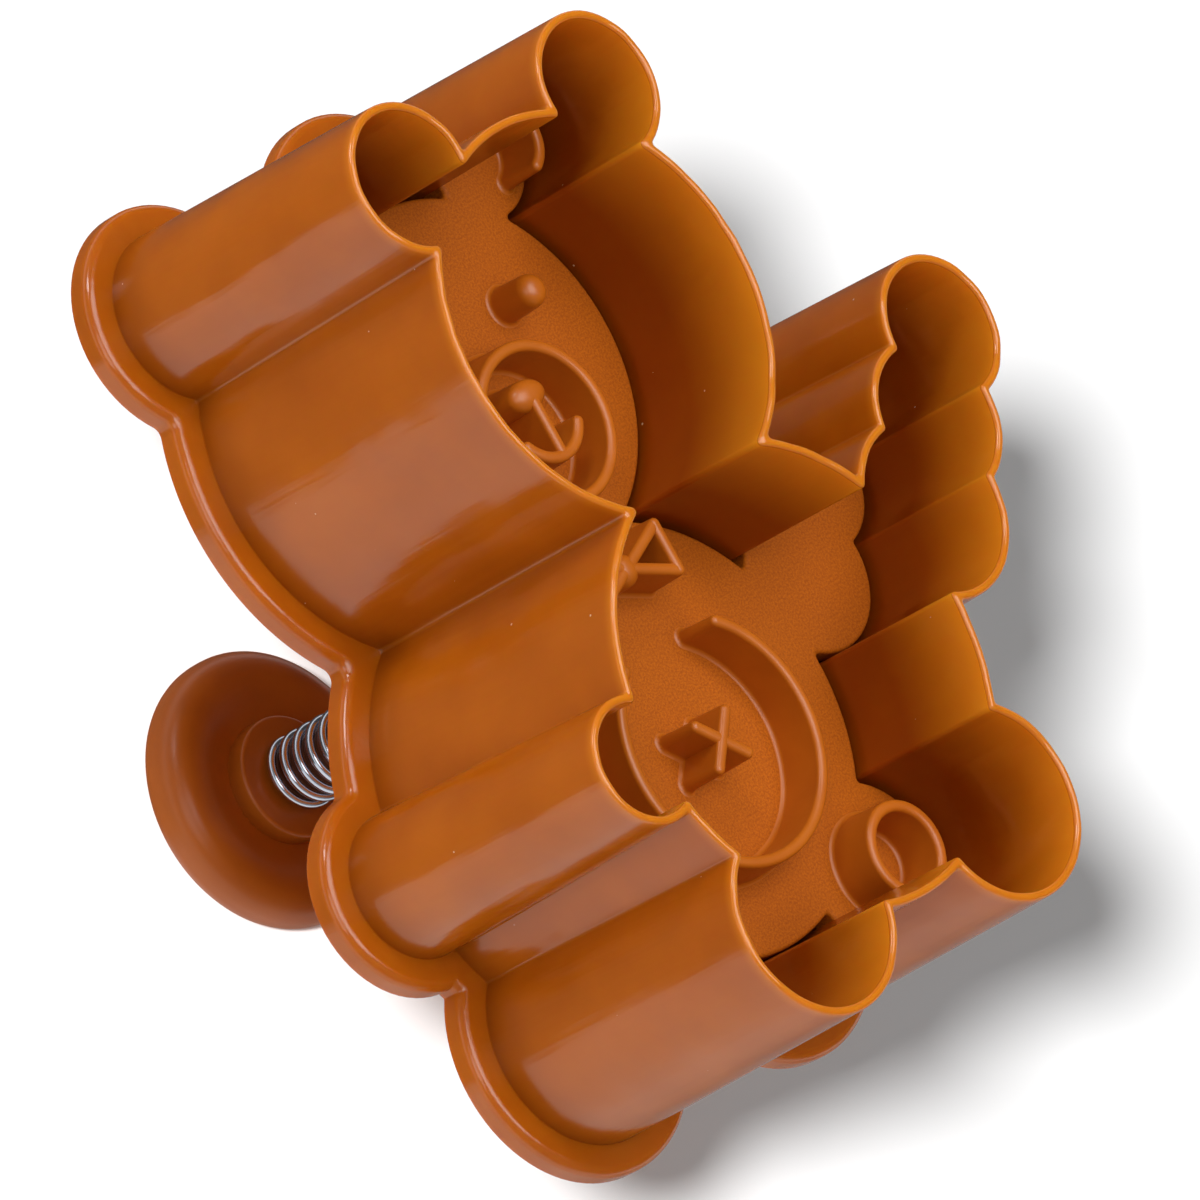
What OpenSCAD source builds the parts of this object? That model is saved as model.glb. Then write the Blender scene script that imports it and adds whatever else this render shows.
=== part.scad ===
// Plunger cookie cutter: a lobed cutting shell that slides over a stamp on a sprung stem.
// It stands on its knob with the cutting edge up, as it lies ready for the dough.
// X runs across the figure, Y from its feet to its ears and Z along the stem.

/* [Bear outline] */
// Height of the figure, from its feet to its ears
figure_h = 79; // [76:0.5:84]
// Radius of the head
head_r = 17.5; // [15.5:0.5:19]
// Radius of each ear
ear_r = 7; // [6:0.5:8]
// Lean of each ear from upright, in degrees
ear_lean = 36; // [30:1:44]
// Depth that each ear sinks into the head
ear_sink = 5; // [4:0.5:6]
// Radius of the belly
belly_r = 20; // [18:0.5:22]
// Depth of the belly's centre below the stem
belly_down = 12; // [10:0.5:13.5]
// Radius of the neck that joins head and belly
neck_r = 7.5; // [6.5:0.5:8]
// Radius of the lowered paw
low_paw_r = 6; // [5.5:0.5:7]
// Angle of the lowered paw above the level, seen from the belly's centre
low_paw_angle = 1; // [-2:0.5:3]
// Depth that the lowered paw sinks into the belly
low_paw_sink = 6; // [5:0.5:7]
// Radius of the raised arm's shoulder
shoulder_r = 8.5; // [7.5:0.5:9.5]
// Angle of that shoulder above the level, seen from the belly's centre
shoulder_angle = 16; // [10:1:20]
// Depth that the shoulder sinks into the belly
shoulder_sink = 6; // [5:0.5:8]
// Radius of the raised arm
arm_r = 7.5; // [6.5:0.5:8.5]
// Radius of the raised paw
high_paw_r = 7; // [6.5:0.5:8]
// Distance from one round of the raised arm to the next
arm_step = 8; // [7:0.5:9]
// Angle of the raised arm above the level
arm_angle = 48; // [40:1:52]
// Radius of each foot
foot_r = 9; // [8:0.5:10]
// Angle of each foot, outwards from straight down
foot_angle = 37; // [32:1:42]
// Depth that each foot sinks into the belly
foot_sink = 9; // [7:0.5:11]

/* [Shell] */
// Height of the shell's back above the knob's face
shell_z = 29; // [26:0.5:32]
// Thickness of the floor behind the stamp
floor_t = 2; // [1.6:0.1:2.6]
// Width of the flange outside the wall
flange_w = 2.5; // [1.8:0.1:3]
// Thickness of the flange
flange_t = 2.3; // [2.1:0.1:3]
// Chamfer along the flange's front edge
flange_chamfer = 0.7; // [0.4:0.1:0.9]
// Chamfer at the wall's root on the flange
root_chamfer = 0.8; // [0.4:0.1:1]
// Height of the cutting wall in front of the flange
wall_h = 28.7; // [25:0.1:32]
// Thickness of the wall at the flange
wall_t = 1.5; // [1.3:0.1:2]
// Thickness of the wall at the cutting edge
edge_t = 0.7; // [0.6:0.1:1]
// Wall of the tube that houses the spring
well_wall = 1.6; // [1.2:0.1:2.2]
// Thickness of the guide at the end of that tube
guide_t = 2; // [1.6:0.1:3]

/* [Stamp] */
// Depth of the stamp's face below the cutting edge, at rest
recess = 15.4; // [14:0.2:17]
// Thickness of the stamp's plate
plate_t = 2.4; // [2:0.1:3]
// Clearance between the stamp and the wall
plate_gap = 0.5; // [0.3:0.1:0.8]
// Width of the marking ribs
rib_w = 1.2; // [0.9:0.1:1.5]
// Height of the marking ribs
rib_h = 4.2; // [3:0.2:5]
// Diameter of the collar behind the stamp
collar_d = 8.6; // [7.6:0.2:10]
// Thickness of the collar behind the stamp
collar_t = 1.4; // [1:0.1:2]

/* [Stem and knob] */
// Diameter of the stem
stem_d = 4; // [3.6:0.1:4.4]
// Chamfer at the stem's ends
stem_chamfer = 0.4; // [0.2:0.1:0.6]
// Depth that the stem enters the stamp's plate
stem_grip = 1.4; // [1:0.1:1.6]
// Radial running clearance of the stem in its guide
guide_gap = 0.1; // [0.05:0.01:0.1]
// Radial clearance of the stem in its glued seats
seat_gap = 0.02; // [0.01:0.01:0.04]
// Diameter of the knob
knob_d = 23; // [20:0.5:27]
// Thickness of the knob at its rim
knob_t = 4.6; // [4:0.1:6]
// Rounding of the knob's edge at its end face
knob_face_round = 1.2; // [0.8:0.1:1.5]
// Rounding of the knob's edge on the spring side
knob_rim_round = 1.8; // [1.2:0.1:2.2]
// Depth of the dish on the spring side
dish_depth = 0.7; // [0.4:0.1:1]
// Width of the rim round the dish
dish_rim = 1.9; // [1.9:0.1:2.6]
// Diameter of the raised spring seat
boss_d = 10.3; // [9:0.1:12]
// Height of the spring seat above the rim
boss_h = 0.8; // [0.5:0.1:1.4]
// Rounding of the spring seat's edge
boss_round = 0.5; // [0.3:0.1:0.6]
// Thickness of the knob under the stem's end
knob_floor = 1.6; // [1.2:0.1:2]

/* [Spring] */
// Outside diameter of the spring
spring_d = 6.5; // [6.2:0.1:7]
// Diameter of the spring's wire
wire_d = 0.85; // [0.7:0.05:0.9]
// Number of turns
spring_turns = 20; // [16:1:21]
// Clearance between the spring and its housing
well_gap = 0.35; // [0.25:0.05:0.5]

/* [Marks] */
// Distance of each eye from the middle of the face
eye_side = 6.2; // [5:0.2:7]
// Height of the eyes above the head's centre
eye_up = 4.6; // [3.5:0.1:6]
// Radius of each eye
eye_r = 1.5; // [1.2:0.1:1.8]
// Radius of the muzzle's ring
muzzle_r = 6.4; // [5.8:0.2:7.2]
// Depth of the muzzle's centre below the head's centre
muzzle_down = 5; // [4:0.2:6]
// Width of the nose
nose_w = 4.4; // [3.6:0.2:5]
// Height of the nose from top to bottom
nose_h = 2.8; // [2.2:0.1:3.2]
// Height of the nose above the muzzle's centre
nose_up = 2.6; // [2:0.1:3]
// Radius of the smile
smile_r = 3.6; // [3:0.1:4]
// Height of the smile's centre above the muzzle's centre
smile_up = 0.8; // [0.3:0.1:1.4]
// Sweep of the smile, in degrees
smile_sweep = 120; // [90:5:140]
// Radius of the line inside each ear
ear_line_r = 3.2; // [2.6:0.1:3.6]
// Sweep of the line inside each ear, in degrees
ear_line_sweep = 230; // [180:5:270]
// Radius of the line round the belly
belly_line_r = 10; // [8.5:0.5:11]
// Depth of that line's centre below the belly's centre
belly_line_down = 1.5; // [0:0.5:2.5]
// Sweep of the line round the belly, in degrees
belly_line_sweep = 290; // [240:5:310]
// Length of each stroke of the stitch on the belly
stitch_l = 5.2; // [3.6:0.2:6.4]
// Half width of the bow at the neck
bow_w = 5.6; // [4.6:0.2:6.4]
// Half height of the bow's ends
bow_h = 2.6; // [2.2:0.1:3]
// Half height of the bow's waist
bow_waist = 0.6; // [0.4:0.1:0.8]
// Radius of the bow's knot
bow_knot_r = 1.5; // [1.2:0.1:1.8]
// Height of the bow above the belly's centre
bow_up = 13.5; // [12.5:0.5:14.5]
// Radius of the line between the lowered paw and the belly
paw_line_r = 5.4; // [5:0.1:6]
// Sweep of that line, in degrees
paw_line_sweep = 90; // [60:5:110]
// Radius of the pad on each foot
foot_pad_r = 3.6; // [3:0.1:4.4]
// Radius of the pad on the raised paw
paw_pad_r = 1.7; // [1.4:0.1:2]
// Radius of each toe mark
toe_r = 0.7; // [0.6:0.05:0.8]
// Distance of the toe marks from the middle of the paw
toe_reach = 3.2; // [3:0.1:3.4]
// Angle between the toe marks
toe_spread = 42; // [36:1:48]

/* [Hidden] */
$fn = 96;
overcut = 1;
straight_down = 270;

caramel = "#b4620f";
stamp_brown = "#a05a23";
knob_brown = "#8a4718";
steel = "#c8ccd2";

// Levels along the stem
edge_z = shell_z + flange_t + wall_h;
face_z = edge_z - recess;
plate_z = face_z - plate_t;
collar_z = plate_z - collar_t;
guide_z = collar_z - guide_t;
boss_z = knob_t + boss_h;
socket_z = plate_z + stem_grip;

// Sizes round the stem
knob_r = knob_d / 2;
boss_r = boss_d / 2;
stem_r = stem_d / 2;
guide_r = stem_r + guide_gap;
seat_r = stem_r + seat_gap;
well_r = spring_d / 2 + well_gap;
dish_r = knob_r - dish_rim;
dish_ball_r = (dish_r * dish_r + dish_depth * dish_depth) / (2 * dish_depth);

// Centres of the lobes that make up the bear
function polar(reach, angle) = reach * [cos(angle), sin(angle)];
belly = [0, -belly_down];
foot_reach = belly_r + foot_r - foot_sink;
ear_reach = head_r + ear_r - ear_sink;
foot_drop = foot_reach * cos(foot_angle) + foot_r;
ear_rise = ear_reach * cos(ear_lean) + ear_r;
head = belly + [0, figure_h - foot_drop - ear_rise];
neck = (head - [0, head_r] + belly + [0, belly_r]) / 2;
ear_angles = [90 - ear_lean, 90 + ear_lean];
ears = [for (angle = ear_angles) head + polar(ear_reach, angle)];
low_paw = belly + polar(belly_r + low_paw_r - low_paw_sink, 180 - low_paw_angle);
shoulder = belly + polar(belly_r + shoulder_r - shoulder_sink, shoulder_angle);
arm = shoulder + polar(arm_step, arm_angle);
high_paw = arm + polar(arm_step, arm_angle);
feet = [for (side = [1, -1]) belly + polar(foot_reach, straight_down + side * foot_angle)];

// Each round lobe of the outline, as its centre and its radius at the flange
lobes = [
    [head, head_r],
    [ears[0], ear_r],
    [ears[1], ear_r],
    [neck, neck_r],
    [belly, belly_r],
    [low_paw, low_paw_r],
    [shoulder, shoulder_r],
    [arm, arm_r],
    [high_paw, high_paw_r],
    [feet[0], foot_r],
    [feet[1], foot_r],
];

// The bear in the flat, drawn in by a margin
module bear(margin) {
    for (lobe = lobes)
        translate(lobe[0]) circle(lobe[1] - margin);
}

// The bear as a block whose sides lean in from one margin at the back to another at the front
module bear_block(z, h, back_margin, front_margin) {
    for (lobe = lobes)
        translate([lobe[0].x, lobe[0].y, z])
            cylinder(h = h, r1 = lobe[1] - back_margin, r2 = lobe[1] - front_margin);
}

// Lobed cutting wall with its flange, floor, spring housing and stem guide
module cutter_shell() {
    // The root's top ends inside the wall
    root_h = 1.5 * root_chamfer;
    color(caramel)
        difference() {
            union() {
                difference() {
                    union() {
                        bear_block(shell_z, flange_t - flange_chamfer, -flange_w, -flange_w);
                        bear_block(shell_z + flange_t - flange_chamfer, flange_chamfer,
                                   -flange_w, flange_chamfer - flange_w);
                        bear_block(shell_z + flange_t, root_h, -root_chamfer, root_h - root_chamfer);
                        bear_block(shell_z + flange_t, wall_h, 0, wall_t - edge_t);
                    }
                    translate([0, 0, shell_z + floor_t])
                        linear_extrude(edge_z - shell_z)
                            bear(wall_t);
                }
                translate([0, 0, shell_z]) cylinder(h = collar_z - shell_z, r = well_r + well_wall);
            }
            translate([0, 0, shell_z - overcut]) cylinder(h = guide_z - shell_z + overcut, r = well_r);
            translate([0, 0, guide_z - overcut]) cylinder(h = guide_t + 2 * overcut, r = guide_r);
        }
}

// Full ring of a rib's width
module ring_stroke(centre, r) {
    translate(centre)
        difference() {
            circle(r + rib_w / 2);
            circle(r - rib_w / 2);
        }
}

// Part of such a ring
module arc_stroke(centre, r, from, sweep) {
    steps = ceil(sweep / 45);
    translate(centre)
        intersection() {
            ring_stroke([0, 0], r);
            polygon([[0, 0], for (i = [0 : steps]) polar(2 * r, from + sweep * i / steps)]);
        }
}

// Straight stroke of a rib's width about a middle
module line_stroke(middle, l, angle) {
    translate(middle) rotate(angle) square([l, rib_w], center = true);
}

// Eyes, muzzle, nose and smile
module face_marks() {
    muzzle = head - [0, muzzle_down];
    nose = muzzle + [0, nose_up];
    nose_round = (nose_w * nose_w + nose_h * nose_h) / (4 * nose_h);
    smile = muzzle + [0, smile_up];
    lip_l = nose.y - smile.y + smile_r;
    for (side = [1, -1])
        translate(head + [side * eye_side, eye_up]) circle(eye_r);
    ring_stroke(muzzle, muzzle_r);
    translate(nose)
        intersection_for (side = [1, -1])
            translate([0, side * (nose_round - nose_h / 2)]) circle(nose_round);
    line_stroke(nose - [0, lip_l / 2], lip_l, 90);
    arc_stroke(smile, smile_r, straight_down - smile_sweep / 2, smile_sweep);
}

// Lines inside the ears, open towards the head
module ear_marks() {
    for (i = [0, 1])
        arc_stroke(ears[i], ear_line_r, ear_angles[i] - ear_line_sweep / 2, ear_line_sweep);
}

// Line round the belly, open at the neck, with a crossed stitch in its middle
module belly_marks() {
    middle = belly - [0, belly_line_down];
    arc_stroke(middle, belly_line_r, straight_down - belly_line_sweep / 2, belly_line_sweep);
    for (angle = [45, 135])
        line_stroke(middle, stitch_l, angle);
}

// Bow at the neck: a knot between two open loops
module bow_marks() {
    slope = (bow_h - bow_waist) / bow_w;
    hole_end = bow_w - rib_w;
    hole_h = bow_waist + slope * hole_end - rib_w / 2;
    translate(belly + [0, bow_up]) {
        difference() {
            polygon([[bow_w, bow_h], [0, bow_waist], [-bow_w, bow_h],
                     [-bow_w, -bow_h], [0, -bow_waist], [bow_w, -bow_h]]);
            for (side = [1, -1])
                polygon([[side * bow_knot_r, 0], [side * hole_end, hole_h], [side * hole_end, -hole_h]]);
        }
        circle(bow_knot_r);
    }
}

// Line beside the lowered paw, and pads on the feet and on the raised paw
module paw_marks() {
    arc_stroke(low_paw, paw_line_r, -low_paw_angle - paw_line_sweep / 2, paw_line_sweep);
    for (foot = feet)
        ring_stroke(foot, foot_pad_r);
    translate(high_paw) circle(paw_pad_r);
    for (toe = [-1, 0, 1])
        translate(high_paw + polar(toe_reach, arm_angle + toe * toe_spread)) circle(toe_r);
}

// Plate that fills the shell, with its marking ribs and the collar that takes the stem
module stamp_plate() {
    color(stamp_brown)
        difference() {
            union() {
                translate([0, 0, plate_z])
                    linear_extrude(plate_t)
                        bear(wall_t + plate_gap);
                translate([0, 0, face_z - plate_t / 2])
                    linear_extrude(plate_t / 2 + rib_h) {
                        face_marks();
                        ear_marks();
                        belly_marks();
                        bow_marks();
                        paw_marks();
                    }
                translate([0, 0, collar_z]) cylinder(h = collar_t + plate_t / 2, d = collar_d);
            }
            translate([0, 0, collar_z - overcut]) cylinder(h = socket_z - collar_z + overcut, r = seat_r);
        }
}

// Rod from the knob to the stamp
module plunger_stem() {
    stem_l = socket_z - knob_floor;
    color(stamp_brown)
        translate([0, 0, knob_floor]) {
            cylinder(h = stem_chamfer, r1 = stem_r - stem_chamfer, r2 = stem_r);
            translate([0, 0, stem_chamfer]) cylinder(h = stem_l - 2 * stem_chamfer, r = stem_r);
            translate([0, 0, stem_l - stem_chamfer])
                cylinder(h = stem_chamfer, r1 = stem_r, r2 = stem_r - stem_chamfer);
        }
}

// Half section of a disc with rounded edges, standing on the X axis
module disc_profile(r, h, low_round, high_round) {
    square([r - max(low_round, high_round), h]);
    square([r - low_round, h - high_round]);
    translate([0, low_round]) square([r, h - low_round - high_round]);
    translate([0, low_round]) square([r - high_round, h - low_round]);
    translate([r - low_round, low_round]) circle(low_round);
    translate([r - high_round, h - high_round]) circle(high_round);
}

// Mushroom knob with a dished back, a raised spring seat and a blind hole for the stem
module push_knob() {
    color(knob_brown)
        difference() {
            union() {
                difference() {
                    rotate_extrude() disc_profile(knob_r, knob_t, knob_face_round, knob_rim_round);
                    translate([0, 0, knob_t - dish_depth + dish_ball_r]) sphere(dish_ball_r);
                }
                translate([0, 0, knob_floor])
                    rotate_extrude() disc_profile(boss_r, boss_z - knob_floor, boss_round, boss_round);
            }
            translate([0, 0, knob_floor]) cylinder(h = boss_z, r = seat_r);
        }
}

// Compression spring from the knob's seat to the end of its housing, with level ends
spring_rings = 8;
spring_sides = 6;
spring_level = 0.2;
spring_seat_gap = 0.05;
spring_mean_r = (spring_d - wire_d) / 2;
spring_start_z = boss_z + spring_seat_gap + wire_d / 2;
spring_rise = guide_z - boss_z - 2 * spring_seat_gap - wire_d;
spring_pitch = spring_rise / (spring_turns - 2 * spring_level);
ring_count = spring_turns * spring_rings;
function climb(turn) = spring_pitch * min(max(turn - spring_level, 0), spring_turns - 2 * spring_level);
function wire_point(ring, side) =
    let (turn = ring / spring_rings)
    let (out = spring_mean_r + wire_d / 2 * cos(360 * side / spring_sides))
    let (up = wire_d / 2 * sin(360 * side / spring_sides))
    [out * cos(360 * turn), out * sin(360 * turn), spring_start_z + climb(turn) + up];
wire_points = [for (ring = [0 : ring_count]) for (side = [0 : spring_sides - 1]) wire_point(ring, side)];
function corner(ring, side) = ring * spring_sides + side % spring_sides;
wire_faces = [
    for (ring = [0 : ring_count - 1]) for (side = [0 : spring_sides - 1])
        each [
            [corner(ring, side), corner(ring + 1, side), corner(ring + 1, side + 1)],
            [corner(ring, side), corner(ring + 1, side + 1), corner(ring, side + 1)],
        ],
    for (side = [1 : spring_sides - 2]) [corner(0, 0), corner(0, side), corner(0, side + 1)],
    for (side = [1 : spring_sides - 2])
        [corner(ring_count, 0), corner(ring_count, side + 1), corner(ring_count, side)],
];
// Least distance between the points of one turn and those of the next
spring_least_gap = min([
    for (ring = [0 : ring_count - spring_rings])
        for (next = [ring + spring_rings - 1 : min(ring + spring_rings + 1, ring_count)])
            for (side = [0 : spring_sides - 1]) for (other = [0 : spring_sides - 1])
                norm(wire_points[corner(ring, side)] - wire_points[corner(next, other)])
]);
echo(spring_least_gap = spring_least_gap, spring_pitch = spring_pitch);

module return_spring() {
    color(steel) polyhedron(wire_points, wire_faces);
}

push_knob();
plunger_stem();
return_spring();
stamp_plate();
cutter_shell();
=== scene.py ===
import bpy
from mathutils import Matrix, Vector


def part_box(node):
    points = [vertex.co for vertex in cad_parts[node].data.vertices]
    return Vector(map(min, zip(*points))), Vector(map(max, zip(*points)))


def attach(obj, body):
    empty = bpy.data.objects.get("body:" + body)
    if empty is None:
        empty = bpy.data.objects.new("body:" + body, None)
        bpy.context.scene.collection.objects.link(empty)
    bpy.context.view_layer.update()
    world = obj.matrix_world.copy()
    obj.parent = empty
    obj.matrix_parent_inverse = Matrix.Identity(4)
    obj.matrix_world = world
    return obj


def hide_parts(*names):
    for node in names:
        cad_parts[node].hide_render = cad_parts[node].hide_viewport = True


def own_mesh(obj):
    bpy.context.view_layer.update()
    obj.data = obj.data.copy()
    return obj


bl_info = {
    "name": "Plunger cookie cutter",
    "version": (1, 0, 0),
    "blender": (4, 5, 0),
    "location": "3D View > Sidebar > Cutter",
    "description": "Dresses a sprung bear-shaped cookie cutter and sets it in a studio",
    "category": "Add Mesh",
}

import math

import bmesh
import bpy
from bpy.props import FloatProperty, FloatVectorProperty, PointerProperty
from mathutils import Matrix, Vector, noise

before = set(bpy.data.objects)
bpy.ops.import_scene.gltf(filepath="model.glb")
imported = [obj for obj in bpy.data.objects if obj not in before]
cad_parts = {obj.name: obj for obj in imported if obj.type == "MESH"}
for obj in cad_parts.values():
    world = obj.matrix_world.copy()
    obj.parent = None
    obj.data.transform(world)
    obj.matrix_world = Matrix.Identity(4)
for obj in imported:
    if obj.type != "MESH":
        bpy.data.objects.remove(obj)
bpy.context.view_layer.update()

MM = 0.001
TURN = 2 * math.pi
UPRIGHT = (0, 0, 1)

# Points closer than this are one point
MERGE = 0.003 * MM
# The wall's foot dips this far below the flange's face
FOOT_DIP = 0.05 * MM

# Levels along the stem, from the knob's face to the cutting edge
KNOB_BACK = 4.6 * MM
SPRING_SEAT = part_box("push_knob")[1].z
SHELL_BACK, EDGE = (corner.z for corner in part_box("cutter_shell"))
SHELL_FLOOR = SHELL_BACK + 2 * MM
FLANGE_FRONT = SHELL_BACK + 2.3 * MM
COLLAR_BACK, RIB_TOP = (corner.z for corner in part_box("stamp_plate"))
GUIDE_BACK = COLLAR_BACK - 2 * MM
STAMP_FACE = EDGE - 15.4 * MM
STAMP_BACK = STAMP_FACE - 2.4 * MM
STEM_FOOT, STEM_TOP = (corner.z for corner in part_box("plunger_stem"))


def linear(code):
    """Linear colour of an sRGB hex value"""
    shares = [int(code[i:i + 2], 16) / 255 for i in (1, 3, 5)]
    return [v / 12.92 if v <= 0.04045 else ((v + 0.055) / 1.055) ** 2.4 for v in shares] + [1.0]


def polar(reach, angle):
    """Step in the plane of the figure, its angle in degrees"""
    return Vector((math.cos(math.radians(angle)), math.sin(math.radians(angle)))) * reach


# Centres of the figure's lobes, and their radii at the flange
EAR_ANGLES = (54, 126)
ARM_STEP, ARM_ANGLE = 8 * MM, 48
HEAD = Vector((0, 19.251)) * MM
BELLY = Vector((0, -12)) * MM
EARS = [HEAD + polar(19.5 * MM, angle) for angle in EAR_ANGLES]
FEET = [BELLY + polar(20 * MM, 270 + side * 37) for side in (1, -1)]
LOW_PAW = BELLY + polar(20 * MM, 179)
SHOULDER = BELLY + polar(22.5 * MM, 16)
ARM = SHOULDER + polar(ARM_STEP, ARM_ANGLE)
HIGH_PAW = ARM + polar(ARM_STEP, ARM_ANGLE)
HEAD_R, BELLY_R, EAR_R, FOOT_R = 17.5 * MM, 20 * MM, 7 * MM, 9 * MM
LOW_PAW_R, SHOULDER_R, ARM_R, HIGH_PAW_R = 6 * MM, 8.5 * MM, 7.5 * MM, 7 * MM

# The lobes met on a walk round the outline, with the figure on the left hand
WALK = [
    (HEAD, HEAD_R), (EARS[1], EAR_R), (HEAD, HEAD_R), (BELLY, BELLY_R), (LOW_PAW, LOW_PAW_R),
    (BELLY, BELLY_R), (FEET[1], FOOT_R), (BELLY, BELLY_R), (FEET[0], FOOT_R), (BELLY, BELLY_R),
    (SHOULDER, SHOULDER_R), (ARM, ARM_R), (HIGH_PAW, HIGH_PAW_R), (ARM, ARM_R), (SHOULDER, SHOULDER_R),
    (BELLY, BELLY_R), (HEAD, HEAD_R), (EARS[0], EAR_R),
]
OUTLINE_STEP = 0.7 * MM
CORNER_STEPS = 6
# A fillet takes at most this share of the lobe beside it
FILLET_SHARE = 0.3


def heading(start, end):
    """Direction from one point to another, in radians"""
    return math.atan2(end.y - start.y, end.x - start.x)


def meeting(first, second, margin, fillet):
    """Centre of a fillet in the corner between two lobes that are drawn in by a margin"""
    reach, other = first[1] - margin + fillet, second[1] - margin + fillet
    run = second[0] - first[0]
    along = (run.length_squared + reach ** 2 - other ** 2) / (2 * run.length)
    aside = math.sqrt(reach ** 2 - along ** 2)
    ahead = run.normalized()
    return first[0] + ahead * along + Vector((ahead.y, -ahead.x)) * aside


def walk_sweeps(corners):
    """Angle that each lobe of the walk spans between its two corners"""
    return [(heading(WALK[i][0], corners[i]) - heading(WALK[i][0], corners[i - 1])) % TURN for i in range(len(WALK))]


def walk_corners(margin, fillets):
    """Centres of the fillets between the lobes of the walk"""
    ahead = WALK[1:] + WALK[:1]
    return [meeting(a, b, margin, fillet) for a, b, fillet in zip(WALK, ahead, fillets)]


PLAIN_SWEEPS = walk_sweeps(walk_corners(0, [0] * len(WALK)))
LOBE_STEPS = [max(3, round(sweep * lobe[1] / OUTLINE_STEP)) for sweep, lobe in zip(PLAIN_SWEEPS, WALK)]


def gather(bm, part):
    """Moves a part from a bmesh of its own into a larger one, which is quicker than drawing it there, and returns its
    edges"""
    known = len(bm.edges)
    mesh = bpy.data.meshes.new("part")
    part.to_mesh(mesh)
    part.free()
    bm.from_mesh(mesh)
    bpy.data.meshes.remove(mesh)
    bm.edges.ensure_lookup_table()
    return bm.edges[known:]


def draw_outline(bm, margin, z, corner_round):
    """Draws the closed outline at one level and returns its edges"""
    sweeps = walk_sweeps(walk_corners(margin, [0] * len(WALK)))
    spans = [FILLET_SHARE * sweep * (lobe[1] - margin) for sweep, lobe in zip(sweeps, WALK)]
    fillets = [min(corner_round, here, ahead) for here, ahead in zip(spans, spans[1:] + spans[:1])]
    corners = walk_corners(margin, fillets)
    sweeps = walk_sweeps(corners)
    start = WALK[0][0] + (corners[-1] - WALK[0][0]).normalized() * (WALK[0][1] - margin)
    part = bmesh.new()
    first = last = part.verts.new((start.x, start.y, z))
    for i, lobe in enumerate(WALK):
        ahead = WALK[(i + 1) % len(WALK)]
        turn_back = (heading(corners[i], lobe[0]) - heading(corners[i], ahead[0])) % TURN
        for centre, sweep, steps in ((lobe[0], sweeps[i], LOBE_STEPS[i]), (corners[i], -turn_back, CORNER_STEPS)):
            spun = bmesh.ops.spin(part, geom=[last], cent=(centre.x, centre.y, z), axis=UPRIGHT, angle=sweep,
                                  steps=steps)
            last = spun["geom_last"][0]
    bmesh.ops.weld_verts(part, targetmap={last: first})
    return gather(bm, part)


def skin(bm, loops):
    """Joins each closed line to the next and returns the faces of each joint"""
    return [bmesh.ops.bridge_loops(bm, edges=lower + upper)["faces"] for lower, upper in zip(loops, loops[1:])]


def turned(bm, profile, steps):
    """Turns a profile of radii and heights round the stem"""
    verts = [bm.verts.new((r, 0, z)) for r, z in profile]
    edges = [bm.edges.new(pair) for pair in zip(verts, verts[1:])]
    bmesh.ops.spin(bm, geom=verts + edges, cent=(0, 0, 0), axis=UPRIGHT, angle=TURN, steps=steps, use_merge=True)


def rounding(centre, radius, start, end, steps=6):
    """Points of a round in a profile, between two angles in degrees"""
    angles = [math.radians(start + (end - start) * i / steps) for i in range(steps + 1)]
    return [(centre[0] + radius * math.cos(angle), centre[1] + radius * math.sin(angle)) for angle in angles]


def ring_at(bm, radius, z):
    """Edges of the ring that lies at a radius and a height"""
    near = 0.01 * MM

    def on_ring(vert):
        return abs(vert.co.z - z) < near and abs(vert.co.xy.length - radius) < near
    return [edge for edge in bm.edges if all(on_ring(vert) for vert in edge.verts)]


def collection(name):
    """Finds or makes a collection of the scene, which lamps can be linked to"""
    found = bpy.data.collections.get(name)
    if not found:
        found = bpy.data.collections.new(name)
        bpy.context.scene.collection.children.link(found)
    return found


def make_piece(bm, name, body, nodes, materials, crease=40):
    """Turns a finished bmesh into a piece that stands for CAD nodes"""
    bmesh.ops.recalc_face_normals(bm, faces=bm.faces)
    for face in bm.faces:
        face.smooth = True
    for edge in bm.edges:
        edge.smooth = edge.calc_face_angle(0) < math.radians(crease)
    mesh = bpy.data.meshes.new(name)
    bm.to_mesh(mesh)
    bm.free()
    for material in materials:
        mesh.materials.append(material)
    piece = bpy.data.objects.new(name, mesh)
    collection("Cutter").objects.link(piece)
    level = piece.modifiers.new("Level faces", "WEIGHTED_NORMAL")
    level.keep_sharp = True
    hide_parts(*nodes)
    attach(piece, body)
    return piece


# Materials

def add(tree, kind, settings=(), links=()):
    """Adds a node with its settings and links"""
    node = tree.nodes.new(kind)
    for name, value in dict(settings).items():
        if isinstance(name, int) or name in node.inputs:
            node.inputs[name].default_value = value
        else:
            setattr(node, name, value)
    for name, (source, output) in dict(links).items():
        tree.links.new(source.outputs[output], node.inputs[name])
    return node


def start_material(name):
    """A new material with its node tree and its shader"""
    material = bpy.data.materials.new(name)
    material.use_nodes = True
    tree = material.node_tree
    return material, tree, tree.nodes["Principled BSDF"]


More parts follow.
